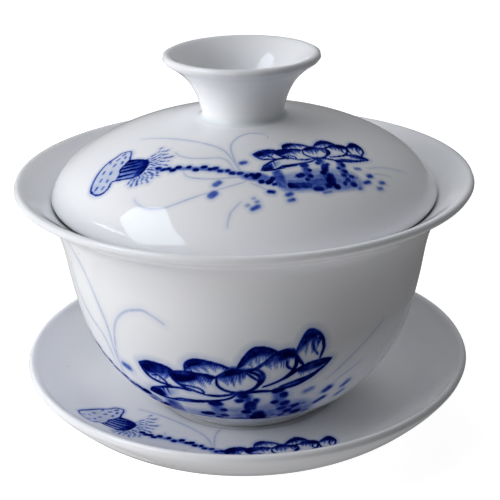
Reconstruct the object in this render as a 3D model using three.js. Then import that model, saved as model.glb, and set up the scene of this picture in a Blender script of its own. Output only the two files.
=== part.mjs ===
// Gaiwan: a lidded porcelain tea bowl that stands on a saucer.
//
// It comes apart into three pieces, all turned about one upright axis. The bowl's foot ring stands in a
// shallow well in the saucer, and the lid drops inside the bowl's flared lip, where its edge rests all
// round. The lid's knob is a small trumpet-shaped cup, luted on and fired as one piece with the lid.
//
// Millimetres, +Z up. The origin is on the table, under the middle of the saucer.

import * as THREE from 'three';

// ---- Driving dimensions -------------------------------------------------------------------------

const FACETS = 48; // flats round each piece
const SEAT_GAP = 0.25; // clearance where one piece stands in another

const SAUCER_RADIUS = 49.5;
const SAUCER_HEIGHT = 16.3;
const SAUCER_FOOT_RADIUS = 29.5;
const SAUCER_FOOT_HEIGHT = 2.6;
const WELL_RADIUS = 20.8;
const WELL_DEPTH = 0.9;
const WELL_FLOOR = 4.65; // height of the well's floor above the table

const BOWL_RADIUS = 49;
const BOWL_HEIGHT = 52.6;
const BOWL_STAND = WELL_FLOOR + SEAT_GAP; // height of the bowl's foot above the table
const BOWL_RIM = BOWL_STAND + BOWL_HEIGHT;
const BOWL_FOOT_RADIUS = 19.4;
const BOWL_FOOT_HEIGHT = 2.3;

const LID_RADIUS = 41.45;
const LID_CROWN = 12.6; // height of the dome where the knob stands, above the bowl's rim
const LID_DROP = 3.3; // how far the lid's edge sits below the bowl's rim
const KNOB_RADIUS = 16.5;
const KNOB_NECK_RADIUS = 8.7;
const KNOB_TOP = 26; // height of the knob's lip above the bowl's rim

const BODY_THICKNESS = 2.5; // walls low down, and floors
const LID_EDGE_THICKNESS = 1.9;
const KNOB_THICKNESS = 2;
const LIP_THICKNESS = 1.7; // walls at a rounded lip
const FOOT_RING_WIDTH = 2.2;
const FOOT_RECESS = 0.75; // depth of the recess inside a foot ring, as a share of the ring's height
const SOFTENING = 0.4; // small chamfer on a foot ring
const FILLET = 0.6; // small turned corner: at the knob's foot and round the saucer's well

// ---- Outlines -----------------------------------------------------------------------------------
// An outline is a list of (radius, height) points. It starts on the axis under the piece, runs out and
// up the underside or outside, over the rounded edge, and back down the inside to the axis.

const point = (radius, height) => new THREE.Vector2(radius, height);

const curveThrough = (...stations) => new THREE.SplineCurve(stations.map(([r, h]) => point(r, h)));

// Where an outside has to end, leaning out by this many degrees from upright, for its rounded lip to reach
// this radius and this height.
function underLip(radius, height, lean) {
  const half = LIP_THICKNESS / 2;
  const angle = THREE.MathUtils.degToRad(lean);
  return [radius - half * (1 - Math.cos(angle)), height - half * (1 + Math.sin(angle))];
}

// The other face of a wall. It follows the first face, on its left, at a thickness that changes evenly
// from the face's start to its end.
function otherFace(face, thicknessAtStart, thicknessAtEnd, steps) {
  const points = [];
  for (let i = 0; i <= steps; i++) {
    const t = i / steps;
    const tangent = face.getTangent(t);
    const across = point(-tangent.y, tangent.x);
    const thickness = THREE.MathUtils.lerp(thicknessAtStart, thicknessAtEnd, t);
    points.push(face.getPoint(t).addScaledVector(across, thickness));
  }
  return points;
}

// A rounded edge: half a turn about the point midway between the ends of two faces.
function roundEdge(from, to) {
  const steps = 4;
  const centre = from.clone().add(to).multiplyScalar(0.5);
  const points = [];
  for (let i = 1; i < steps; i++) {
    points.push(from.clone().rotateAround(centre, (Math.PI * i) / steps));
  }
  return points;
}

// A foot ring under a piece: the recess inside it, the flat ring that stands, and its tapered outside.
function footRing(radius, height, stand) {
  const inner = radius - FOOT_RING_WIDTH;
  const recess = stand + height * FOOT_RECESS;
  return [
    point(0, recess),
    point(inner - SOFTENING, recess),
    point(inner, stand + SOFTENING),
    point(inner + SOFTENING, stand),
    point(radius - SOFTENING, stand),
    point(radius, stand + SOFTENING),
    point(radius + SOFTENING, stand + height),
  ];
}

function turned(name, outline, color) {
  const geometry = new THREE.LatheGeometry(outline, FACETS);
  geometry.rotateX(Math.PI / 2);
  const porcelain = new THREE.MeshStandardMaterial({ color, roughness: 0.12, metalness: 0 });
  const mesh = new THREE.Mesh(geometry, porcelain);
  mesh.name = name;
  return mesh;
}

// ---- Pieces -------------------------------------------------------------------------------------

// A shallow dish with a turned-up rim. The well in its middle keeps the bowl from sliding.
function makeSaucer() {
  const underside = curveThrough(
    [SAUCER_FOOT_RADIUS + 2 * FILLET, SAUCER_FOOT_HEIGHT + FILLET / 3],
    [34.6, 3.6],
    [38.4, 5],
    [42.4, 7.6],
    [45.9, 10.8],
    [48.1, 13.2],
    underLip(SAUCER_RADIUS, SAUCER_HEIGHT, 38),
  );
  const steps = 9;
  const outside = underside.getPoints(steps);
  const inside = otherFace(underside, BODY_THICKNESS, LIP_THICKNESS, steps).reverse();
  const dishFloor = WELL_FLOOR + WELL_DEPTH;
  const outline = [
    ...footRing(SAUCER_FOOT_RADIUS, SAUCER_FOOT_HEIGHT, 0),
    ...outside,
    ...roundEdge(outside.at(-1), inside[0]),
    ...inside.slice(0, -1),
    point((WELL_RADIUS + SAUCER_FOOT_RADIUS) / 2, dishFloor),
    point(WELL_RADIUS + FILLET, dishFloor),
    point(WELL_RADIUS, WELL_FLOOR + FILLET),
    point(WELL_RADIUS - FILLET, WELL_FLOOR),
    point(0, WELL_FLOOR),
  ];
  return turned('saucer', outline, 0xdfe5e8);
}

// A deep bell-shaped bowl. Its wall rises almost straight from a rounded base, then flares to a wide lip.
function makeBowl() {
  const below = (radius, drop) => [radius, BOWL_RIM - drop];
  const wall = curveThrough(
    [BOWL_FOOT_RADIUS + 3 * FILLET, BOWL_STAND + BOWL_FOOT_HEIGHT + FILLET / 3],
    below(27, 46.2),
    below(32.6, 39.4),
    below(36.3, 31.5),
    below(38.5, 22),
    below(40, 13),
    below(42.2, 6.6),
    below(45.4, 3.8),
    underLip(BOWL_RADIUS, BOWL_RIM, 42),
  );
  const steps = 13;
  const outside = wall.getPoints(steps);
  const inside = otherFace(wall, BODY_THICKNESS, LIP_THICKNESS, steps).reverse();
  const floor = BOWL_STAND + BOWL_FOOT_HEIGHT * FOOT_RECESS + BODY_THICKNESS;
  const outline = [
    ...footRing(BOWL_FOOT_RADIUS, BOWL_FOOT_HEIGHT, BOWL_STAND),
    ...outside,
    ...roundEdge(outside.at(-1), inside[0]),
    ...inside,
    point((BOWL_FOOT_RADIUS * 2) / 3, floor),
    point(0, floor),
  ];
  return turned('bowl', outline, 0xe6eaee);
}

// A low dome with a rounded shoulder, and the hollow knob that stands on it.
function makeLid() {
  const above = (radius, rise) => [radius, BOWL_RIM + rise];
  const dome = curveThrough(
    above(LID_RADIUS, -LID_DROP),
    above(40, -0.4),
    above(36.5, 3.1),
    above(31, 6.5),
    above(24, 9.4),
    above(16, 11.5),
    above(KNOB_NECK_RADIUS + FILLET, LID_CROWN),
  );
  const knob = curveThrough(
    above(KNOB_NECK_RADIUS, LID_CROWN + FILLET),
    above(9.2, 15.6),
    above(10.2, 18.3),
    above(12, 21.1),
    above(14.1, 23),
    underLip(KNOB_RADIUS, BOWL_RIM + KNOB_TOP, 50),
  );
  const domeSteps = 11;
  const knobSteps = 7;
  const domeTop = dome.getPoints(domeSteps);
  const underside = otherFace(dome, LID_EDGE_THICKNESS, BODY_THICKNESS, domeSteps).reverse();
  const knobOutside = knob.getPoints(knobSteps);
  const knobInside = otherFace(knob, KNOB_THICKNESS, LIP_THICKNESS, knobSteps).reverse();
  const recessFloor = BOWL_RIM + LID_CROWN - FILLET;
  const outline = [
    point(0, BOWL_RIM + LID_CROWN + FILLET - BODY_THICKNESS),
    ...underside,
    ...roundEdge(underside.at(-1), domeTop[0]),
    ...domeTop,
    ...knobOutside,
    ...roundEdge(knobOutside.at(-1), knobInside[0]),
    ...knobInside,
    point(KNOB_NECK_RADIUS - KNOB_THICKNESS - 2 * FILLET, recessFloor),
    point(0, recessFloor),
  ];
  return turned('lid', outline, 0xe9edf1);
}

const gaiwan = new THREE.Group();
gaiwan.add(makeSaucer(), makeBowl(), makeLid());

export default gaiwan;
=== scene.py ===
"""A glazed porcelain gaiwan: saucer, bowl and lid, painted under the glaze with a lotus spray in cobalt blue.

Each piece is turned again as a fine round mesh from the outline of its CAD node. One flat drawing of the
spray is bent round each piece and kept on its vertices as an attribute. Only its pod, stem and grass are
set a little differently from piece to piece.
"""

import math
from dataclasses import dataclass

import bpy
import numpy as np
from mathutils import Matrix


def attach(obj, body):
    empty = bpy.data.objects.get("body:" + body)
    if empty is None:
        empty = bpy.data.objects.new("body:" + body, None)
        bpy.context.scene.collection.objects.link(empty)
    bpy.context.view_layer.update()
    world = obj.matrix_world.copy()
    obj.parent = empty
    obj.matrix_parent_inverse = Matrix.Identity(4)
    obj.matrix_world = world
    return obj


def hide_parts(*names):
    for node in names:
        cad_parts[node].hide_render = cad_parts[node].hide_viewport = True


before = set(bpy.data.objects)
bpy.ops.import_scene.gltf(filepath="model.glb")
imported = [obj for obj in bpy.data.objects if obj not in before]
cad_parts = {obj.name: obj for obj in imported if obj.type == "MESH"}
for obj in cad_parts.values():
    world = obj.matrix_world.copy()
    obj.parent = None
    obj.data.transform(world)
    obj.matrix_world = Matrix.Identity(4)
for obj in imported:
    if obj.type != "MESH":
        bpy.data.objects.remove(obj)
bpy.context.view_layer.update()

MM = 0.001

# ---- Dimensions, in millimetres and degrees ------------------------------------------------------

PAINT_SPACING = 0.27  # between the vertices that carry the drawing
PAINT_GIRTH = 0.85  # usual radius of the painted band, as a share of its widest
PLAIN_SPACING = 0.8  # between the rows of vertices elsewhere
PLAIN_STEP = 3.0  # degrees between columns away from the drawing
COARSE_STRIDE = 4  # plain rows use every fourth column
ON_AXIS = 0.002  # a CAD vertex this near to a plane or the axis lies on it
SPLINE_STEPS = 16  # points on a smoothed outline for each point of the CAD's
KNOT_POWER = 0.7  # of the distance between points, which spaces the spline's knots
CORNER = math.radians(33)  # an outline turns at least this sharply at a corner
LONG_FLAT = 5.0  # and has an edge at least this long beside it

FLOOR_RADIUS = 3.0  # this and the six sizes below are in metres
FLOOR_DROP = 0.0002  # keeps the floor clear of the saucer's foot
MIDDLE_HEIGHT = 0.05
LAMP_SIZE = 1.2
LAMP_DISTANCE = 1.5
CARD_DISTANCE = 1.2
CARD_HEIGHT = 0.06
ROOM = 0.16  # strength of the light from all round
WINDOW = 9.0  # brightness of the window where it shows in the glaze
BLIND = 1.6 * WINDOW  # brightness of the blind's slats beside it
TABLE = 0.55  # brightness of the table where it shows in the glaze
DAYLIGHT = (0.78, 0.88, 1.0)

# The camera's place, lens and angles come from a fit to edges seen in the photograph.
CAMERA_PLACE = (0.0, -248.25, 141.39)
CAMERA_LENS = 87.08
CAMERA_DOWN = 22.46
CAMERA_YAW = 0.23
CAMERA_ROLL = -1.03


@dataclass
class Placement:
    """How the flat drawing is bent onto a piece, like a paper cone with its tip above or below.

    Azimuths are in degrees from the front (-Y) towards the right (+X). One row round the piece takes the
    sheet without stretching it.
    """

    first: float  # azimuths between which the piece is painted
    last: float
    bottom: tuple  # points of the outline, as (radius, height), between which it is painted
    top: tuple
    middle: float  # azimuth of the sheet's middle line
    girth: float  # radius of the piece at the row that isn't stretched
    bend: float  # radius of that row on the flat sheet
    offset: float  # distance along the outline from the painted band's start to that row
    scale: float  # millimetres in one drawing unit
    turn: float  # degrees that the drawing is turned on the sheet
    lift: float  # and how far up the sheet it is set
    tip_above: bool
    pod_shift: tuple = (0.0, 0.0)  # how far the pod and stem are set from their place by the lotus
    pod_turn: float = 0.0  # and how many degrees the bent stem swings the pod about the stem's lotus end
    grass_shift: tuple = (0.0, 0.0)  # how far the grass is set from its place


# On the saucer and the lid, scale, turn and lift come from a fit to their painting in the photograph.
PLACEMENTS = {
    "saucer": Placement(
        first=-112,
        last=84,
        bottom=(49.1, 16.1),
        top=(22.5, 5.6),
        middle=11.6,
        girth=29.0,
        bend=29.0,
        offset=23.8,
        scale=0.951,
        turn=-7.05,
        lift=-4.09,
        tip_above=True,
        pod_shift=(1.6, 6.4),
        grass_shift=(2.2, 2.0),
    ),
    "bowl": Placement(
        first=-134,
        last=52,
        bottom=(27.4, 12.0),
        top=(46.0, 54.4),
        middle=-4.0,
        girth=34.0,
        bend=67.8,
        offset=11.1,
        scale=1.65,
        turn=10.0,
        lift=0.0,
        tip_above=False,
        pod_turn=27.0,
    ),
    "lid": Placement(
        first=-112,
        last=72,
        bottom=(39.8, 57.4),
        top=(9.4, 70.0),
        middle=33.7,
        girth=26.0,
        bend=28.0,
        offset=16.51,
        scale=0.958,
        turn=-16.6,
        lift=0.42,
        tip_above=True,
    ),
}


# ---- Outlines ------------------------------------------------------------------------------------


def node_outline(node):
    """The node's outline as (radius, height) points in millimetres, from the axis below to the axis above."""
    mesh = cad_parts[node].data
    at = [tuple(round(c / MM, 3) for c in v.co) for v in mesh.vertices]
    front = [abs(x) < ON_AXIS and y < ON_AXIS for x, y, z in at]
    beside = {}
    for edge in mesh.edges:
        a, b = edge.vertices
        if front[a] and front[b]:
            p, q = (-at[a][1], at[a][2]), (-at[b][1], at[b][2])
            if p != q:
                beside.setdefault(p, set()).add(q)
                beside.setdefault(q, set()).add(p)
    here = min((p for p in beside if abs(p[0]) < ON_AXIS), key=lambda p: p[1])
    outline, before = [here], None
    while True:
        onward = [p for p in beside[here] if p != before]
        if not onward:
            return np.array(outline)
        before, here = here, onward[0]
        outline.append(here)
        if abs(here[0]) < ON_AXIS:
            return np.array(outline)


def spline_through(points):
    """A smooth curve through every point, with no curvature at its ends: a natural cubic spline."""
    gaps = np.hypot(*np.diff(points, axis=0).T) ** KNOT_POWER
    slopes = np.diff(points, axis=0) / gaps[:, None]
    system = np.eye(len(points))
    right = np.zeros((len(points), 2))
    for i in range(1, len(points) - 1):
        system[i, i - 1 : i + 2] = gaps[i - 1], 2 * (gaps[i - 1] + gaps[i]), gaps[i]
        right[i] = 6 * (slopes[i] - slopes[i - 1])
    bend = np.linalg.solve(system, right)
    u = np.linspace(0, 1, SPLINE_STEPS, endpoint=False)[:, None]
    curve = []
    for i, gap in enumerate(gaps):
        straight = (1 - u) * points[i] + u * points[i + 1]
        bowed = ((1 - u) ** 3 - (1 - u)) * bend[i] + (u**3 - u) * bend[i + 1]
        curve.append(straight + bowed * gap**2 / 6)
    return np.vstack(curve + [points[-1:]])


def smoothed(outline):
    """A smooth curve through the outline's points. It breaks where a long flat meets a corner."""
    step = np.diff(outline, axis=0)
    length = np.hypot(*step.T)
    heading = np.arctan2(step[:, 1], step[:, 0])
    turn = np.abs((np.diff(heading) + math.pi) % (2 * math.pi) - math.pi)
    beside_flat = np.maximum(length[:-1], length[1:]) > LONG_FLAT
    corners = [i + 1 for i in range(len(turn)) if turn[i] > CORNER and beside_flat[i]]
    across = np.array([-1, 1])
    curve = []
    for start, end in zip([0] + corners, corners + [len(outline) - 1]):
        section = outline[start : end + 1]
        if len(section) == 2:
            section = np.linspace(section[0], section[1], 3)
        before = section[2:0:-1] * across if start == 0 else section[:0]
        after = section[-2:-4:-1] * across if end == len(outline) - 1 else section[:0]
        line = spline_through(np.vstack([before, section, after]))
        first = len(before) * SPLINE_STEPS
        curve.append(line[first : len(line) - len(after) * SPLINE_STEPS])
    curve = np.vstack(curve)
    curve[:, 0] = np.maximum(curve[:, 0], 0)
    curve[:, 1] = np.clip(curve[:, 1], outline[:, 1].min(), outline[:, 1].max())
    curve[0, 0] = curve[-1, 0] = 0
    return curve


def arc_lengths(curve):
    return np.concatenate([[0], np.cumsum(np.hypot(*np.diff(curve, axis=0).T))])


def nearest(curve, point):
    return int(np.hypot(*(curve - point).T).argmin())


# ---- The drawing ---------------------------------------------------------------------------------
# Drawing units are about a millimetre on the lid. The origin is at the heart of the lotus.

STEM_END = np.array([-11.0, -5.0])
STEM_REACH = 30.0  # from there to the pod
DARK, MID, PALE, FAINT = 1.0, 0.7, 0.42, 0.24
BLEED = 0.18  # strength of the blue that a stroke bleeds into the glaze round it
BLEED_REACH = 1.1
GOLDEN_SHARE = 0.618  # successive multiples of it spread evenly, so the fringe looks random


def flowing(points, steps=6):
    """A smooth line through the points."""
    points = np.array(points, float)
    if len(points) < 3:
        return points
    ends = np.vstack([2 * points[0] - points[1], points, 2 * points[-1] - points[-2]])
    t = np.linspace(0, 1, steps, endpoint=False)[:, None]
    line = []
    for a, b, c, d in zip(ends, ends[1:], ends[2:], ends[3:]):
        square = 2 * a - 5 * b + 4 * c - d
        cube = 3 * b - a - 3 * c + d
        line.append(0.5 * (2 * b + (c - a) * t + square * t**2 + cube * t**3))
    return np.vstack(line + [points[-1:]])


class Drawing:
    """Brush marks on a flat sheet, each with its own strength of cobalt from 0 to 1."""

    def __init__(self):
        self.marks = []

    def stroke(self, points, width, strength, fade=1.0, soft=0.16, taper=0.0):
        """A line that swells from its ends. It ends fade times as strong as it starts, and taper thinner."""
        line = flowing(points)
        along = np.linspace(0, 1, len(line))
        half = 0.5 * width * (0.5 + 0.5 * np.sin(math.pi * along) ** 0.6) * (1 - taper * along)
        self.marks.append(("stroke", line, half, strength * (1 + (fade - 1) * along), soft))

    def dab(self, x, y, length, width, angle, strength, soft=0.3):
        """One touch of the brush."""
        reach = max(length - width, 0.02) / 2
        step = direction_on_sheet(angle) * reach
        line = np.array([(x, y) - step, (x, y) + step])
        self.marks.append(("stroke", line, np.full(2, width / 2), np.full(2, strength), soft))

    def wash(self, points, start, end, strong, weak, soft=0.35):
        """A filled patch that goes from strong at the point start to weak at the point end."""
        outline = flowing(points + points[:1])[:-1]
        self.marks.append(("wash", outline, (np.array(start), np.array(end)), (strong, weak), soft))

    def strength_at(self, at):
        """How strong the cobalt is at each of the points."""
        found = np.zeros(len(at))
        for kind, line, shape, strength, soft in self.marks:
            reach = 1.0 + (shape.max() if kind == "stroke" else 0)
            near = np.all((at > line.min(0) - reach) & (at < line.max(0) + reach), axis=1).nonzero()[0]
            if len(near):
                cover = stroke_cover if kind == "stroke" else wash_cover
                found[near] = np.maximum(found[near], cover(at[near], line, shape, strength, soft))
        return found


def distance_along(at, a, b):
    """Each point's distance to the segment from a to b, and how far along the segment it is."""
    step = b - a
    t = np.clip((at - a) @ step / max(step @ step, 1e-9), 0, 1)
    return np.hypot(*(at - a - t[:, None] * step).T), t


def stroke_cover(at, line, half, strength, soft):
    best = np.zeros(len(at))
    for i in range(len(line) - 1):
        distance, t = distance_along(at, line[i], line[i + 1])
        width = half[i] + (half[i + 1] - half[i]) * t
        ink = strength[i] + (strength[i + 1] - strength[i]) * t
        core = np.clip((width - distance) / soft + 0.5, 0, 1)
        bleed = BLEED * np.clip(1 - (distance - width) / BLEED_REACH, 0, 1)
        best = np.maximum(best, ink * np.maximum(core, bleed))
    return best


def wash_cover(at, outline, ends, strength, soft):
    inside = np.zeros(len(at), bool)
    edge = np.full(len(at), 1e9)
    for a, b in zip(outline, np.roll(outline, -1, axis=0)):
        edge = np.minimum(edge, distance_along(at, a, b)[0])
        crosses = (a[1] > at[:, 1]) != (b[1] > at[:, 1])
        rise = b[1] - a[1] if b[1] != a[1] else 1e-9
        inside ^= crosses & (at[:, 0] < a[0] + (at[:, 1] - a[1]) / rise * (b[0] - a[0]))
    _, t = distance_along(at, *ends)
    ink = strength[0] + (strength[1] - strength[0]) * t
    return ink * np.clip(np.where(inside, edge, -edge) / soft + 0.5, 0, 1)


def hatch(drawing, starts, ends, count, width, strength=1.0, fade=0.75):
    """Fine lines of uneven length from along one edge to along another."""
    starts, ends = flowing(starts, 12), flowing(ends, 12)
    for i in range(count):
        share = (i + 0.5) / count
        a = starts[int(share * (len(starts) - 1))]
        b = ends[int(share * (len(ends) - 1))]
        b = a + (b - a) * (0.68 + 0.42 * math.sin(2.4 * i) ** 2)
        drawing.stroke([a, (a + b) / 2, b], width, strength, fade, taper=0.5)


def draw_petals(drawing):
    outer_left = [(-12.4, 4.2), (-11, 4.9), (-9.5, 5.1), (-8, 4.9), (-7.2, 4.4)]
    outer_left_under = [(-12.4, 4.2), (-12, 3.2), (-11.2, 2.2), (-10.3, 1.8), (-9, 1.6), (-8.2, 1.7)]
    inner_left = [(-8, 4.2), (-6.5, 4.6), (-5, 4.7), (-3.5, 4.4), (-2, 3.9)]
    inner_left_under = [(-8, 4.0), (-7.5, 3), (-6.5, 2), (-5, 1.3), (-4, 0.8)]
    back_left = [(-5.6, 4.9), (-5.4, 5.9), (-4.8, 6.5), (-3.8, 6.8), (-2.5, 6.6), (-1, 6.1), (0.2, 5.4)]
    front = [(-1.6, 4.2), (0.3, 5.0), (2.5, 4.4), (3.6, 3.3), (3.2, 2.0), (2.2, 1.2), (0.8, 0.9), (-0.8, 1.4)]
    back = [(1.2, 5.2), (2.2, 6.4), (3.2, 7.3), (4.2, 7.7), (5.4, 7.3), (6.4, 6.5), (7.0, 5.7)]
    right = [(3.4, 4.4), (4.6, 5.1), (5.8, 5.8), (7.2, 6.1), (8.4, 5.7), (8.7, 4.6), (8.3, 3.2), (7.2, 2.2)]
    upright = [(8.7, 4.9), (9.8, 6.2), (11.2, 7.4), (12.2, 6.8), (12.7, 5.4), (12.4, 3.8), (11.5, 2.6)]
    lower_right = [(12.8, 1.4), (11.6, 2.1), (10, 2.5), (8.4, 2.4), (6.8, 1.9), (4.8, 1.4)]
    lower_left = [(-12.2, -1.6), (-11.4, -0.4), (-10.2, 0.4), (-8.6, 1.2), (-6.8, 1.5), (-5.6, 1.2)]
    lower_left_under = [(-12.2, -1.6), (-10.6, -1.9), (-8.8, -1.7), (-7.5, -1.1), (-5, -0.9), (-1.4, -0.3)]
    outlines = [
        outer_left,
        outer_left_under,
        inner_left,
        inner_left_under,
        back_left,
        [(-4.2, 4.7), (-2.8, 4.4), (-1.6, 4.0)],
        front + [(-1.8, 2.6), (-1.6, 4.2)],
        [(2.4, 4.7), (3.6, 4.4), (4.1, 3.6), (4.0, 2.7), (3.3, 1.8)],
        back,
        [(2.4, 4.8), (3.3, 4.6), (4.5, 5.1), (5.6, 5.6)],
        right + [(5.6, 1.6), (3.6, 1.3)],
        [(8.7, 5.9), (8.9, 4), (9.2, 2.8)],
        upright,
        lower_right,
        [(12.8, 1.4), (11.4, 0.8), (9.5, 0.5), (7.5, 0.6), (5.6, 0.6)],
        [(11, 0.6), (9.5, 0.2), (7.6, -0.1), (5.8, 0), (4.8, -0.2)],
        lower_left,
        lower_left_under + [(0.4, 0.8)],
        [(-4, 0.7), (-2, 0.5), (0, 0.8)],
        [(1, 0.8), (3, 0.6), (4.8, 0)],
    ]
    for line in outlines:
        drawing.stroke(line, 0.56, 1.0)
    folds = [
        [(-10.8, 2.6), (-9.8, 3), (-9, 2.4), (-8.6, 1.7)],
        [(-6.6, 2.3), (-5.5, 2.2), (-4.3, 1.9), (-3.9, 1.2), (-4.2, 0.8)],
        [(-4.9, 5.9), (-4.7, 5)],
        [(2.0, 4.4), (2.7, 3.5), (3.4, 2.4)],
        [(1.6, 5.3), (2.4, 6.2), (3.0, 6.4)],
        [(7.5, 4.8), (7.3, 3.6), (7.7, 2.8)],
        [(12.4, 5.6), (11.5, 5.6), (11.2, 4.4), (11.4, 3.2)],
        [(-8.6, -1.9), (-7, -1.5), (-5, -1.2), (-3.6, -0.9)],
    ]
    for line in folds:
        drawing.stroke(line, 0.42, 0.95)
    front_edge = [(-1.4, 4.2), (-0.4, 5.0), (0.6, 5.5), (1.8, 5.2), (2.8, 4.7)]
    right_edge = [(5.6, 5.4), (6.4, 6.0), (7.2, 6.2), (8.4, 6.0), (8.8, 5.2), (8.6, 4.4)]
    shades = [
        (outer_left, [(-8.2, 3.7), (-9.6, 3.2), (-11.2, 2.8), (-12.1, 3.4)], (-11, 3.6), (-8.2, 3.6)),
        (inner_left[:4], [(-4.0, 3.5), (-5.6, 2.9), (-6.8, 2.5), (-7.7, 3.2)], (-6.6, 3.6), (-3.4, 3.6)),
        (back_left, [(-0.8, 5.5), (-2.4, 5.9), (-4.0, 5.7), (-5.0, 5.2)], (-4.2, 6.5), (-1, 5.8)),
        (front_edge, [(1.8, 4.1), (0.2, 3.9), (-0.9, 3.7)], (0.4, 4.9), (2.4, 4.5)),
        (back, [(5.8, 6.1), (4.4, 6.3), (3.2, 6.0), (2.0, 5.4)], (3.2, 7.0), (6.2, 6.2)),
        (right_edge, [(7.8, 4.6), (6.5, 4.6)], (8.0, 5.6), (6.2, 4.8)),
        (upright[:4], [(12.0, 5.8), (11.2, 5.7), (10.0, 5.2), (9.1, 4.8)], (11.6, 6.6), (9.4, 5.2)),
        (lower_right[:4], [(8.6, 1.6), (10, 1.2), (11.6, 1.0)], (12.0, 1.5), (8.8, 2.0)),
        (lower_left[:3], [(-9.4, -0.6), (-9.8, -1.7), (-11.0, -1.9)], (-11.4, -1), (-9.6, -0.2)),
    ]
    for edge, inside, start, end in shades:
        drawing.wash(edge + inside, start, end, 1.12, 0.88, soft=0.8)
    beside_lower_left = [(-9.6, 0.5), (-8.6, 0.9), (-7.4, 1.0), (-7.8, -0.2), (-9.2, -1.2)]
    drawing.wash(beside_lower_left, (-9.4, 0.0), (-7.4, 0.6), PALE, FAINT, soft=1.2)
    under_right = [(10.8, 0.7), (9.2, 0.4), (7.0, 0.5), (5.4, 0.4), (5.6, 0.0), (8, 0.0), (10, 0.3)]
    drawing.wash(under_right, (8, 0.5), (6, 0), 0.9, MID)
    hatches = [
        (outer_left, [(-11.8, 2.6), (-10.4, 2.3), (-9.6, 2.2), (-8.4, 2.8)], 17),
        (inner_left, [(-6.9, 2.0), (-5.2, 1.9), (-3.3, 2.3), (-2.2, 3.2)], 18),
        (back_left[1:], [(-4.0, 4.8), (-2.8, 4.8), (-1.6, 5.0), (-0.2, 5.1)], 16),
        ([(-1.5, 4.3), (0.3, 4.8), (2.2, 4.4)], [(-1.0, 2.8), (0.3, 2.2), (1.7, 2.7)], 14),
        (back[1:], [(2.6, 5.0), (3.6, 4.8), (4.8, 5.1), (6.2, 5.6)], 16),
        (right[1:5], [(4.9, 4.1), (6.0, 3.8), (7.6, 3.5)], 15),
        (upright[1:5], [(9.5, 4.3), (10.6, 4.0), (11.4, 3.9)], 11),
        (lower_right[:4], [(11.4, 0.9), (9.6, 0.9), (8.0, 1.2)], 13),
        (lower_left[:4], [(-11.4, -1.8), (-10.0, -1.6), (-8.8, -0.9)], 7),
    ]
    for edge, reach, count in hatches:
        hatch(drawing, edge, reach, count, 0.4, 1.0, 0.5)


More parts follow.
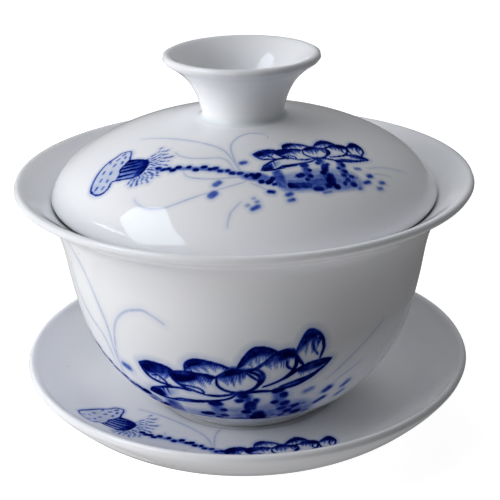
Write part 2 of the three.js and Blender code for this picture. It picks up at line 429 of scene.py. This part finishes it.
def draw_stamens(drawing):
    """The dabs and washes that hang under the lotus."""
    under_it_all = [(-10.6, -3.6), (-6, -3.2), (-1, -2.4), (4, -2.6), (7.8, -4.2), (8.2, -7.8), (2, -9.2)]
    under_it_all += [(-4, -9), (-9.6, -8.2)]
    middle_drip = [(0.2, 0.8), (1.9, 0.7), (1.8, -3.2), (2.8, -4.4), (2.9, -8.4), (-0.4, -8.2), (-0.2, -4.2)]
    middle_drip += [(0.6, -2.4)]
    across = [(-6.6, -4.4), (-4.6, -3.5), (-1.8, -4.3), (0.4, -3.8), (0.6, -5.6), (-3, -5.8), (-6.2, -5.3)]
    drawing.wash(under_it_all, (-4, -3), (-4, -8), 0.3, 0.48, soft=1.4)
    washes = [
        ([(-10.2, -2.4), (-8.6, -1.9), (-8.0, -4.6), (-8.4, -7.6), (-10.2, -7.2), (-10.6, -4.8)], MID),
        ([(-3.8, -1.6), (-2.2, -1.8), (-2.0, -5.4), (-1.2, -8.0), (-3.8, -8.2), (-4.2, -5.4)], 0.62),
        (middle_drip, 0.7),
        ([(4.6, 0.3), (6.0, 0.2), (5.9, -3.4), (7.2, -5.0), (7.0, -8.0), (3.8, -7.8), (3.9, -3.4)], 0.6),
        ([(-4.2, -5.8), (-0.4, -5.4), (0.4, -8.6), (-2.0, -9.0), (-4.4, -8.2)], 0.7),
        (across, 0.52),
        ([(1.8, -4.2), (4.2, -4.4), (4.4, -6.2), (2.4, -6.4)], 0.5),
        ([(-8.2, -5.2), (-4.6, -5.6), (-3.8, -8.4), (-7.8, -8.4)], 0.6),
    ]
    for outline, strength in washes:
        middle = np.mean(outline, axis=0)
        drawing.wash(outline, middle, middle + (0, -3), strength, strength * 0.9, soft=0.9)
    dark = [
        (-13.6, -3.0, 2.0, 1.2, 35), (-13.1, -4.8, 1.2, 1.1, 0), (-11.6, -5.2, 1.6, 1.1, 20),
        (-10.7, -4.5, 1.3, 1.1, 60), (-10.7, -6.1, 1.1, 0.8, 0), (-12.0, -8.0, 1.5, 0.8, -20),
        (-3.0, -1.3, 1.7, 1.2, 0), (-2.4, -3.0, 1.0, 0.9, 0), (-4.8, -4.4, 1.9, 1.2, 20),
        (-2.7, -4.8, 1.2, 1.1, 0), (-3.6, -5.7, 1.1, 0.9, 0), (-7.6, -7.0, 1.6, 1.3, 90),
        (-5.6, -7.2, 4.4, 1.5, -6), (-2.1, -8.5, 2.2, 1.1, -5), (0.8, 0.4, 1.6, 1.3, 90),
        (0.2, -0.8, 1.1, 0.9, 0), (2.1, -1.3, 1.1, 0.8, 60), (1.2, -2.4, 2.2, 1.4, 75),
        (0.4, -3.9, 1.3, 1.2, 0), (1.6, -4.9, 1.5, 1.4, 0), (1.3, -6.4, 2.6, 2.0, 80),
        (2.1, -8.0, 1.5, 1.4, 0), (0.3, -7.8, 1.4, 1.2, 0), (5.2, -0.1, 1.5, 1.0, 0),
        (5.6, -1.4, 1.3, 1.0, 80), (4.3, -2.5, 1.0, 0.9, 0), (5.3, -3.4, 1.3, 1.2, 0),
        (4.7, -4.6, 1.2, 1.1, 0), (6.4, -5.0, 1.2, 1.0, 0), (5.2, -6.0, 1.4, 1.2, 60),
        (6.1, -7.2, 1.5, 1.5, 0), (4.2, -7.0, 1.3, 1.0, 60),
    ]
    for x, y, length, width, angle in dark:
        drawing.dab(x, y, 1.2 * length, 1.2 * width, angle, 0.98, soft=0.5)
    lighter = [
        (-8.6, -9.3, 2.0, 1.2, 15, 0.62), (-8.6, -10.8, 1.8, 0.9, 10, 0.72), (-0.4, -9.4, 2.4, 0.9, 10, 0.55),
        (3.3, -6.4, 1.2, 1.6, 90, 0.62), (7.3, -8.2, 1.4, 1.0, 20, 0.66), (8.7, -2.3, 1.7, 0.9, 5, 0.5),
        (10.9, -4.3, 1.8, 1.2, 20, 0.72), (9.5, -6.3, 2.2, 1.0, 20, 0.8), (7.4, -5.2, 1.2, 1.0, 0, 0.6),
        (13.4, -5.8, 1.8, 1.0, 20, 0.66), (12.3, -7.6, 1.8, 1.0, 20, 0.5), (-15.1, 1.8, 1.9, 1.2, 5, 0.66),
        (-16.2, -11.2, 2.4, 1.1, 15, 0.68), (-15.5, -9.9, 1.1, 0.8, 0, 0.5), (-17.5, -10.3, 1.0, 0.8, 0, 0.5),
        (-15.9, -8.9, 0.8, 0.6, 0, 0.45), (-21.8, -2.8, 2.2, 1.4, 25, 0.66),
        (-23.4, -5.4, 2.4, 1.7, 25, 0.74), (-6.0, -4.8, 1.2, 0.8, 0, 0.6),
    ]
    for x, y, length, width, angle, strength in lighter:
        drawing.dab(x, y, length, width, angle, strength, soft=0.7)


def draw_pod(drawing):
    """The seed pod, its hatched cup and the fringe of stamens under it."""
    rim = [
        (-36.2, 18.6), (-38, 19.3), (-39.6, 18.6), (-41.5, 18), (-43.5, 16.6), (-45.4, 14.4), (-46.6, 12.4),
        (-46.9, 11), (-46.2, 9.2), (-44.8, 8.2), (-43.2, 8.6), (-42.2, 9.8), (-41.4, 9.9), (-40, 9),
    ]
    near_rim = [
        (-36.1, 17.4), (-36.6, 16), (-36.9, 14.9), (-38.2, 13.8), (-39.4, 12.8), (-39.8, 11.4), (-41, 9.9),
    ]
    cup = [
        (-37, 14.9), (-35.2, 13.6), (-33.6, 12), (-33.4, 10.8), (-34.4, 9.2), (-35.8, 8.1), (-37.4, 8.0),
        (-39.2, 8.8), (-41, 9.9),
    ]
    cup_shade = cup[1:7] + [(-36.4, 9.6), (-35.4, 11.4), (-35.6, 13.0)]
    drawing.wash(rim[:13] + near_rim[::-1], (-46, 10), (-37, 18), 0.2, 0.15)
    drawing.wash(near_rim[2:] + cup[6:1:-1], (-39, 10), (-35.4, 11), PALE, MID)
    drawing.wash(cup_shade, (-36.6, 10.5), (-34, 10.5), 0.8, DARK)
    drawing.stroke(rim, 0.48, 0.95)
    drawing.stroke([(-36.2, 18.6)] + near_rim, 0.44, 0.95)
    drawing.stroke(cup, 0.5, 1.0)
    hatch(drawing, near_rim[2:], cup[1:6], 5, 0.95, 1.0, 1.0)
    seeds = [
        (-44.1, 12.7), (-43, 14.9), (-40.3, 15.6), (-41.6, 13.3), (-45.6, 10.9), (-42.8, 11.2), (-44.2, 9.8),
        (-41, 17.6), (-37.7, 18.2), (-37.6, 16.8), (-39.2, 17.2), (-38.6, 15.2),
    ]
    for i, (x, y) in enumerate(seeds):
        drawing.dab(x, y, 1.3, 0.6, 50 + 25 * math.sin(3 * i), 0.66)
    draw_fringe(drawing, (-36, 10.8), -124, 34, 72)


def draw_fringe(drawing, middle, first, last, count):
    """Small uneven ticks that point away from the middle, longer in reach towards the last angle."""
    for i in range(count):
        angle = first + (last - first) * (i + 0.5) / count + 3 * math.sin(5 * i)
        reach = 3.1 + (2.6 + 0.014 * (angle - first + 4)) * (GOLDEN_SHARE * i % 1)
        tick = middle + reach * direction_on_sheet(angle)
        drawing.dab(*tick, 0.8 + 0.2 * math.sin(7 * i), 0.38, angle, 0.72 + 0.2 * math.sin(3 * i))


def direction_on_sheet(angle):
    turn = math.radians(angle)
    return np.array([math.cos(turn), math.sin(turn)])


def draw_stem(drawing):
    """A pale line from the pod to the lotus, with dark dabs of the brush along both its sides."""
    line = [(-32.2, 7.2), (-30, 5.9), (-27, 4.6), (-23.5, 2.8), (-20, 0.8), (-16.5, -1.6), (-13.4, -3.2)]
    line += [(-11, -5)]
    drawing.stroke(line, 1.3, 0.5, soft=0.6)
    drawing.wash([(-18, -0.6), (-15.4, -1.2), (-12.4, -2.4), (-10.8, -4.4), (-13, -4.8), (-16.4, -3.2)],
                 (-17, -1), (-12, -4), 0.4, 0.62, soft=1.0)
    dabs = [
        (-31.8, 7.5), (-31.0, 6.5), (-29.9, 6.2), (-29.2, 5.2), (-27.9, 5.5), (-25.9, 4.5), (-24.8, 3.1),
        (-23.0, 3.2), (-22.0, 2.0), (-20.9, 1.9), (-20.2, 0.7), (-18.8, 0.3), (-18.1, -0.8), (-16.6, -1.3),
        (-15.6, -2.4), (-14.4, -2.4),
    ]
    for i, (x, y) in enumerate(dabs):
        drawing.dab(x, y, 1.55 - 0.3 * (i % 3 == 2), 1.15, -30 + 15 * (i % 2), 0.98, soft=0.4)


def draw_grass(drawing):
    """Long pale blades that arch from behind the lotus."""
    blades = [
        [(-16.6, -0.5), (-17, 4), (-18, 8), (-21, 12), (-26, 17), (-30, 20.4), (-33, 22.5)],
        [(-17.4, 0), (-18, 3.5), (-19.5, 5.2), (-22, 6), (-25, 7.6), (-26.8, 9.5), (-27.4, 11.4)],
        [(-16.2, -1), (-16.5, 4), (-16, 8.5), (-14, 11.4), (-11, 12.8), (-9, 12.4), (-7.4, 11.6)],
        [(-16, -3), (-18, -2.2), (-22, -1.2), (-25.5, 0.5), (-27, 2), (-27.4, 4.2)],
        [
            (-16, -4), (-20, -4.4), (-26, -4.6), (-32, -4.6),
            (-34.5, -4), (-37, -2.4), (-38.4, 0), (-38.6, 1.4),
        ],
        [(-15.5, -4.5), (-13.5, -6.5), (-12.2, -7.8)],
        [(-18.5, -9), (-21, -10.8), (-22.2, -12.6), (-22.8, -14)],
    ]
    for blade in blades:
        drawing.stroke(blade, 0.42, 0.22, soft=0.3)


def draw_rays(drawing):
    """Two faint lines to the right of the lotus."""
    upper = [(11.2, -1.9), (14, -1.0), (17, -0.5), (21.5, -0.2)]
    lower = [(11, -3.8), (13.5, -3.2), (16.5, -3.2)]
    for ray in (upper, lower):
        drawing.stroke(ray, 0.4, 0.17, soft=0.3)


def drawing_of(*parts):
    drawing = Drawing()
    for draw in parts:
        draw(drawing)
    return drawing


# ---- Turned meshes -------------------------------------------------------------------------------


def drawing_points(place, azimuth, along):
    """Where each vertex falls on the flat drawing. along is how far it is from the band's start."""
    angle = np.radians(azimuth - place.middle) * place.girth / place.bend
    if place.tip_above:
        reach = place.bend - (along - place.offset)
        u, v = reach * np.sin(angle), place.bend - reach * np.cos(angle)
    else:
        reach = place.bend + (along - place.offset)
        u, v = reach * np.sin(angle), reach * np.cos(angle) - place.bend
    turn = math.radians(place.turn)
    v = v - place.lift
    x = (math.cos(turn) * u + math.sin(turn) * v) / place.scale
    y = (-math.sin(turn) * u + math.cos(turn) * v) / place.scale
    return np.stack([x, y], -1)


def before_moving(at, shift, turn):
    """Points on the sheet, as they are before part of the drawing is bent about STEM_END and shifted."""
    x, y = (at - shift - STEM_END).T
    turn = math.radians(turn) * np.hypot(x, y) / STEM_REACH
    back = [np.cos(turn) * x + np.sin(turn) * y, np.cos(turn) * y - np.sin(turn) * x]
    return np.stack(back, -1) + STEM_END


def columns(place):
    """Azimuths of the columns of vertices, and which of them the plain rows use too."""
    widest = max(place.bottom[0], place.top[0])
    fine = math.degrees(PAINT_SPACING / (PAINT_GIRTH * widest))
    painted = COARSE_STRIDE * math.ceil((place.last - place.first) / fine / COARSE_STRIDE)
    plain = math.ceil((360 - place.last + place.first) / PLAIN_STEP)
    azimuths = np.concatenate([
        np.linspace(place.first, place.last, painted, endpoint=False),
        np.linspace(place.last, place.first + 360, plain, endpoint=False),
    ])
    shared = [k for k in range(len(azimuths)) if k >= painted or k % COARSE_STRIDE == 0]
    return azimuths, shared


def rows(curve, place):
    """Points along the outline for the rows of vertices, and the rows between which the piece is painted."""
    length = arc_lengths(curve)
    start, end = sorted((length[nearest(curve, place.bottom)], length[nearest(curve, place.top)]))
    stops = []
    plain_below, painted = (0, start, PLAIN_SPACING), (start, end, PAINT_SPACING)
    plain_above = (end, length[-1], PLAIN_SPACING)
    for a, b, spacing in (plain_below, painted, plain_above):
        stops.append(np.linspace(a, b, math.ceil((b - a) / spacing), endpoint=False))
    first = len(stops[0])
    last = first + len(stops[1])
    at = np.concatenate(stops + [[length[-1]]])
    profile = np.stack([np.interp(at, length, coordinate) for coordinate in curve.T], -1)
    return profile, at, first, last


def crease_depth(curve_rows):
    """How hollow the outline is at each row, from 0 to 1, where glaze gathers and looks bluer."""
    step = np.gradient(curve_rows, axis=0)
    heading = np.unwrap(np.arctan2(step[:, 1], step[:, 0]))
    length = np.maximum(np.hypot(*step.T), 1e-6)
    hollow = np.clip(-np.gradient(heading) / length, 0, 0.8) / 0.8
    kernel = np.hanning(9) / np.hanning(9).sum()
    return np.convolve(hollow, kernel, mode="same")


def turned(name, lotus, pod, grass):
    """The node's piece as a fine round mesh, with its attributes."""
    place = PLACEMENTS[name]
    curve = smoothed(node_outline(name))
    profile, along, first, last = rows(curve, place)
    azimuths, shared = columns(place)

    rings = []  # for each row, the number of the vertex in each of its columns
    row, column = [], []
    for i in range(len(profile)):
        used = range(len(azimuths)) if first <= i <= last else shared
        if i in (0, len(profile) - 1):
            used = [0]
        rings.append({c: len(row) + k for k, c in enumerate(used)})
        row.extend([i] * len(used))
        column.extend(used)
    radius, height = profile[row].T
    azimuth = azimuths[column]
    turn = np.radians(azimuth)
    vertices = np.stack([radius * np.sin(turn), -radius * np.cos(turn), height], -1) * MM

    faces = []
    for lower, upper in zip(rings, rings[1:]):
        faces.extend(faces_between(lower, upper, len(azimuths)))

    cobalt = np.zeros(len(row))
    upward = nearest(curve, place.bottom) < nearest(curve, place.top)
    from_start = np.abs(along[row] - along[first if upward else last])
    painted = (np.array(row) >= first) & (np.array(row) <= last) & (azimuth <= place.last)
    at = drawing_points(place, azimuth[painted], from_start[painted])
    moves = ((lotus, (0, 0), 0), (pod, place.pod_shift, place.pod_turn), (grass, place.grass_shift, 0))
    for drawing, shift, bent in moves:
        found = drawing.strength_at(before_moving(at, shift, bent))
        cobalt[painted] = np.maximum(cobalt[painted], found)

    mesh = bpy.data.meshes.new(name + "_porcelain")
    mesh.from_pydata(vertices, [], faces)
    mesh.shade_smooth()
    for label, values in (("cobalt", cobalt), ("hollow", crease_depth(profile)[row])):
        mesh.attributes.new(label, "FLOAT", "POINT").data.foreach_set("value", values.astype(np.float32))
    piece = bpy.data.objects.new(name + "_porcelain", mesh)
    bpy.context.scene.collection.objects.link(piece)
    return piece


def faces_between(lower, upper, count):
    """The faces between two rows, where one may be a single point or have fewer vertices than the other."""
    if min(len(lower), len(upper)) > 1:
        both = sorted(set(lower) & set(upper))
    else:
        both = sorted(max(lower, upper, key=len))
    faces = []
    for start, end in zip(both, both[1:] + [count]):
        between = [column % count for column in range(start, end + 1)]
        below = [lower[c] for c in between if c in lower] if len(lower) > 1 else [lower[0]]
        above = [upper[c] for c in between if c in upper] if len(upper) > 1 else [upper[0]]
        faces.append(tuple(below + above[::-1]))
    return faces


# ---- Materials -----------------------------------------------------------------------------------


class Nodes:
    """Short ways to build a material's nodes."""

    def __init__(self, name):
        self.material = bpy.data.materials.new(name)
        self.material.use_nodes = True
        self.tree = self.material.node_tree
        self.tree.nodes.clear()

    def add(self, kind, inputs=(), **settings):
        node = self.tree.nodes.new("ShaderNode" + kind)
        for key, value in settings.items():
            setattr(node, key, value)
        for key, value in dict(inputs).items():
            if isinstance(value, bpy.types.NodeSocket):
                self.tree.links.new(value, node.inputs[key])
            else:
                node.inputs[key].default_value = value
        return node

    def value(self, operation, a, b=0.0, c=0.0):
        return self.add("Math", {0: a, 1: b, 2: c}, operation=operation).outputs[0]

    def remap(self, value, low, high, to_low=0.0, to_high=1.0):
        inputs = {"Value": value, "From Min": low, "From Max": high, "To Min": to_low, "To Max": to_high}
        return self.add("MapRange", inputs, interpolation_type="SMOOTHSTEP").outputs["Result"]

    def noise(self, place, scale, detail=2.0):
        return self.add("TexNoise", {"Vector": place, "Scale": scale, "Detail": detail}).outputs["Fac"]

    def mix(self, share, a, b, blend_type="MIX"):
        node = self.add("Mix", data_type="RGBA", blend_type=blend_type)
        for socket, value in ((node.inputs[0], share), (node.inputs[6], a), (node.inputs[7], b)):
            if isinstance(value, bpy.types.NodeSocket):
                self.tree.links.new(value, socket)
            else:
                socket.default_value = value
        return node.outputs[2]

    def attribute(self, name):
        return self.add("Attribute", attribute_name=name).outputs["Fac"]


def srgb(red, green, blue):
    """A colour given as 0 to 255 screen values."""
    linear = [c / 255 / 12.92 if c < 10.3 else ((c / 255 + 0.055) / 1.055) ** 2.4 for c in (red, green, blue)]
    return (*linear, 1.0)


def glazed_porcelain():
    """White body, cobalt painting and a clear glaze. The gloss fades where the cobalt is strong."""
    n = Nodes("glazed_porcelain")
    place = n.add("TexCoord").outputs["Object"]

    tone = n.remap(n.noise(place, 45.0), 0.3, 0.7, 0.0, 0.5)
    body = n.mix(tone, srgb(240, 240, 243), srgb(234, 236, 239))
    gathered = n.remap(n.attribute("hollow"), 0.3, 1.0, 0.0, 0.6)
    body = n.mix(gathered, body, srgb(196, 209, 210))
    speck = n.remap(n.add("TexVoronoi", {"Vector": place, "Scale": 120.0}).outputs["Distance"], 0.035, 0.02)
    body = n.mix(n.value("MULTIPLY", speck, 0.5), body, srgb(120, 112, 100))

    brushed = n.remap(n.noise(place, 900.0, 3.0), 0.3, 0.7, 0.88, 1.04)
    pooled = n.remap(n.noise(place, 260.0), 0.3, 0.7, 0.82, 1.08)
    strength = n.value("MULTIPLY", n.attribute("cobalt"), n.value("MULTIPLY", brushed, pooled))
    ramp = n.add("ValToRGB", {"Fac": strength})
    steps = [
        (0.0, (1, 1, 1, 1)),
        (0.24, srgb(184, 198, 228)),
        (0.42, srgb(122, 146, 216)),
        (0.64, srgb(46, 74, 176)),
        (0.84, srgb(6, 22, 116)),
        (1.0, srgb(0, 4, 66)),
    ]
    stops = ramp.color_ramp.elements
    while len(stops) < len(steps):
        stops.new(0.5)
    for stop, (position, colour) in zip(stops, steps):
        stop.position = position
        stop.color = colour
    colour = n.mix(1.0, body, ramp.outputs["Color"], blend_type="MULTIPLY")

    ripple = n.noise(place, 110.0, 2.0)
    grain = n.noise(place, 1500.0, 2.0)
    height = n.value("ADD", ripple, n.value("MULTIPLY", grain, 0.05))
    bump = n.add("Bump", {"Height": height, "Strength": 0.25, "Distance": 0.0002})
    roughness = n.remap(n.noise(place, 60.0, 3.0), 0.3, 0.7, 0.015, 0.035)
    shine = n.remap(strength, 0.0, 0.8, 0.25, 0.0)
    shader = n.add(
        "BsdfPrincipled",
        {
            "Base Color": colour,
            "Roughness": roughness,
            "IOR": 1.5,
            "Specular IOR Level": shine,
            "Normal": bump.outputs["Normal"],
        },
    )
    n.add("OutputMaterial", {"Surface": shader.outputs[0]})
    return n.material


def floor_material():
    """Pale, and bright in itself, so that the gaiwan's shadow on it stays faint."""
    n = Nodes("pale_floor")
    place = n.add("TexCoord").outputs["Object"]
    tone = n.mix(n.noise(place, 3.0), srgb(168, 168, 169), srgb(172, 172, 172))
    glow = {"Emission Color": srgb(255, 255, 255), "Emission Strength": 0.86}
    shader = n.add("BsdfPrincipled", {"Base Color": tone, "Roughness": 0.9, **glow})
    n.add("OutputMaterial", {"Surface": shader.outputs[0]})
    return n.material


# ---- Studio --------------------------------------------------------------------------------------


def add_surroundings():
    """A round floor with a wall at its edge. The camera sees them, and they don't light the gaiwan."""
    material = floor_material()
    turns = [math.radians(angle) for angle in range(0, 360, 5)]
    edge = [(FLOOR_RADIUS * math.cos(turn), FLOOR_RADIUS * math.sin(turn)) for turn in turns]
    count = len(edge)
    vertices = [(x, y, -FLOOR_DROP) for x, y in edge] + [(x, y, FLOOR_RADIUS) for x, y in edge]
    sides = [(k, (k + 1) % count, (k + 1) % count + count, k + count) for k in range(count)]
    for name, faces in (("floor", [tuple(range(count))]), ("wall", sides)):
        mesh = bpy.data.meshes.new(name)
        mesh.from_pydata(vertices if name == "wall" else vertices[:count], [], faces)
        mesh.materials.append(material)
        piece = bpy.data.objects.new(name, mesh)
        for kind in ("diffuse", "glossy", "shadow"):
            setattr(piece, "visible_" + kind, False)
        bpy.context.scene.collection.objects.link(piece)


def direction(azimuth, elevation):
    """Azimuth is in degrees from the front towards the right, and elevation in degrees above the table."""
    turn, rise = math.radians(azimuth), math.radians(elevation)
    return np.array([math.sin(turn) * math.cos(rise), -math.cos(turn) * math.cos(rise), math.sin(rise)])


def add_light(name, azimuth, elevation, power, colour=(1.0, 1.0, 1.0)):
    """A large soft light that faces the gaiwan. It lights the body, and does not show in the glaze."""
    lamp = bpy.data.lights.new(name, "AREA")
    lamp.size = LAMP_SIZE
    lamp.energy = power
    lamp.color = colour
    light = bpy.data.objects.new(name, lamp)
    light.visible_glossy = False
    bpy.context.scene.collection.objects.link(light)
    around = Matrix.Rotation(math.radians(azimuth), 4, "Z")
    facing = around @ Matrix.Rotation(math.radians(90 - elevation), 4, "X")
    away = Matrix.Translation((0, 0, LAMP_DISTANCE))
    light.matrix_world = Matrix.Translation((0, 0, MIDDLE_HEIGHT)) @ facing @ away


def add_reflected(name, shapes, strength, colour):
    """Bright shapes that only show as reflections in the glaze. A shape's corners are directions."""
    vertices, faces = [], []
    for shape in shapes:
        faces.append(range(len(vertices), len(vertices) + len(shape)))
        vertices.extend(CARD_DISTANCE * direction(*corner) + (0, 0, CARD_HEIGHT) for corner in shape)
    mesh = bpy.data.meshes.new(name)
    mesh.from_pydata(vertices, [], [tuple(face) for face in faces])
    n = Nodes(name)
    emission = n.add("Emission", {"Color": (*colour, 1.0), "Strength": strength})
    n.add("OutputMaterial", {"Surface": emission.outputs[0]})
    mesh.materials.append(n.material)
    card = bpy.data.objects.new(name, mesh)
    for kind in ("camera", "diffuse", "shadow", "transmission", "volume_scatter"):
        setattr(card, "visible_" + kind, False)
    bpy.context.scene.collection.objects.link(card)


def add_lights():
    """A bright window on the left of a dim room, and light thrown back up by the table."""
    world = bpy.data.worlds.new("studio")
    world.use_nodes = True
    room = world.node_tree.nodes["Background"]
    room.inputs["Color"].default_value = (1, 1, 1, 1)
    room.inputs["Strength"].default_value = ROOM
    bpy.context.scene.world = world
    add_light("low_key", -75, 12, 21)
    add_light("high_key", -75, 50, 6.5, (0.88, 0.93, 1.0))
    add_light("back", 180, 40, 7.6, (0.97, 0.98, 1.0))
    add_light("from_table", -35, -70, 9.2)
    window = [(-96, 40), (-106, 50), (-104, 62), (-74, 60), (-41, 40), (-37, 32), (-63, 17)]
    add_reflected("window", [window], WINDOW, DAYLIGHT)
    slats = []
    for i in range(8):
        azimuth, elevation = -98.5 + 6.4 * i, 19.0 + 1.4 * i
        far_azimuth, far_elevation = azimuth + 8.5 - 0.5 * i, elevation + 5.5 - 0.7 * i
        top = [(azimuth, elevation), (far_azimuth, far_elevation)]
        bottom = [(far_azimuth + 0.4, far_elevation - 1.2), (azimuth + 0.4, elevation - 1.2)]
        slats.append(top + bottom)
    add_reflected("blind", slats, BLIND, DAYLIGHT)
    table = [(-165, -8), (-120, -8), (-120, -50), (-165, -50)]
    add_reflected("table_on_the_left", [table], TABLE, (1.0, 1.0, 1.0))


def add_camera():
    camera = bpy.data.objects.new("camera", bpy.data.cameras.new("camera"))
    camera.data.lens = CAMERA_LENS
    camera.data.sensor_width = 36
    camera.data.clip_start = 0.01
    camera.data.dof.use_dof = False
    camera.matrix_world = (
        Matrix.Translation([c * MM for c in CAMERA_PLACE])
        @ Matrix.Rotation(math.radians(-CAMERA_YAW), 4, "Z")
        @ Matrix.Rotation(math.radians(90 - CAMERA_DOWN), 4, "X")
        @ Matrix.Rotation(math.radians(CAMERA_ROLL), 4, "Z")
    )
    bpy.context.scene.collection.objects.link(camera)
    bpy.context.scene.camera = camera


# ---- Scene ---------------------------------------------------------------------------------------

lotus = drawing_of(draw_petals, draw_stamens, draw_rays)
pod = drawing_of(draw_pod, draw_stem)
grass = drawing_of(draw_grass)
porcelain = glazed_porcelain()
for node in PLACEMENTS:
    piece = turned(node, lotus, pod, grass)
    piece.data.materials.append(porcelain)
    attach(piece, node)
    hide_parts(node)

add_surroundings()
add_lights()
add_camera()
bpy.context.scene.view_settings.view_transform = "Standard"
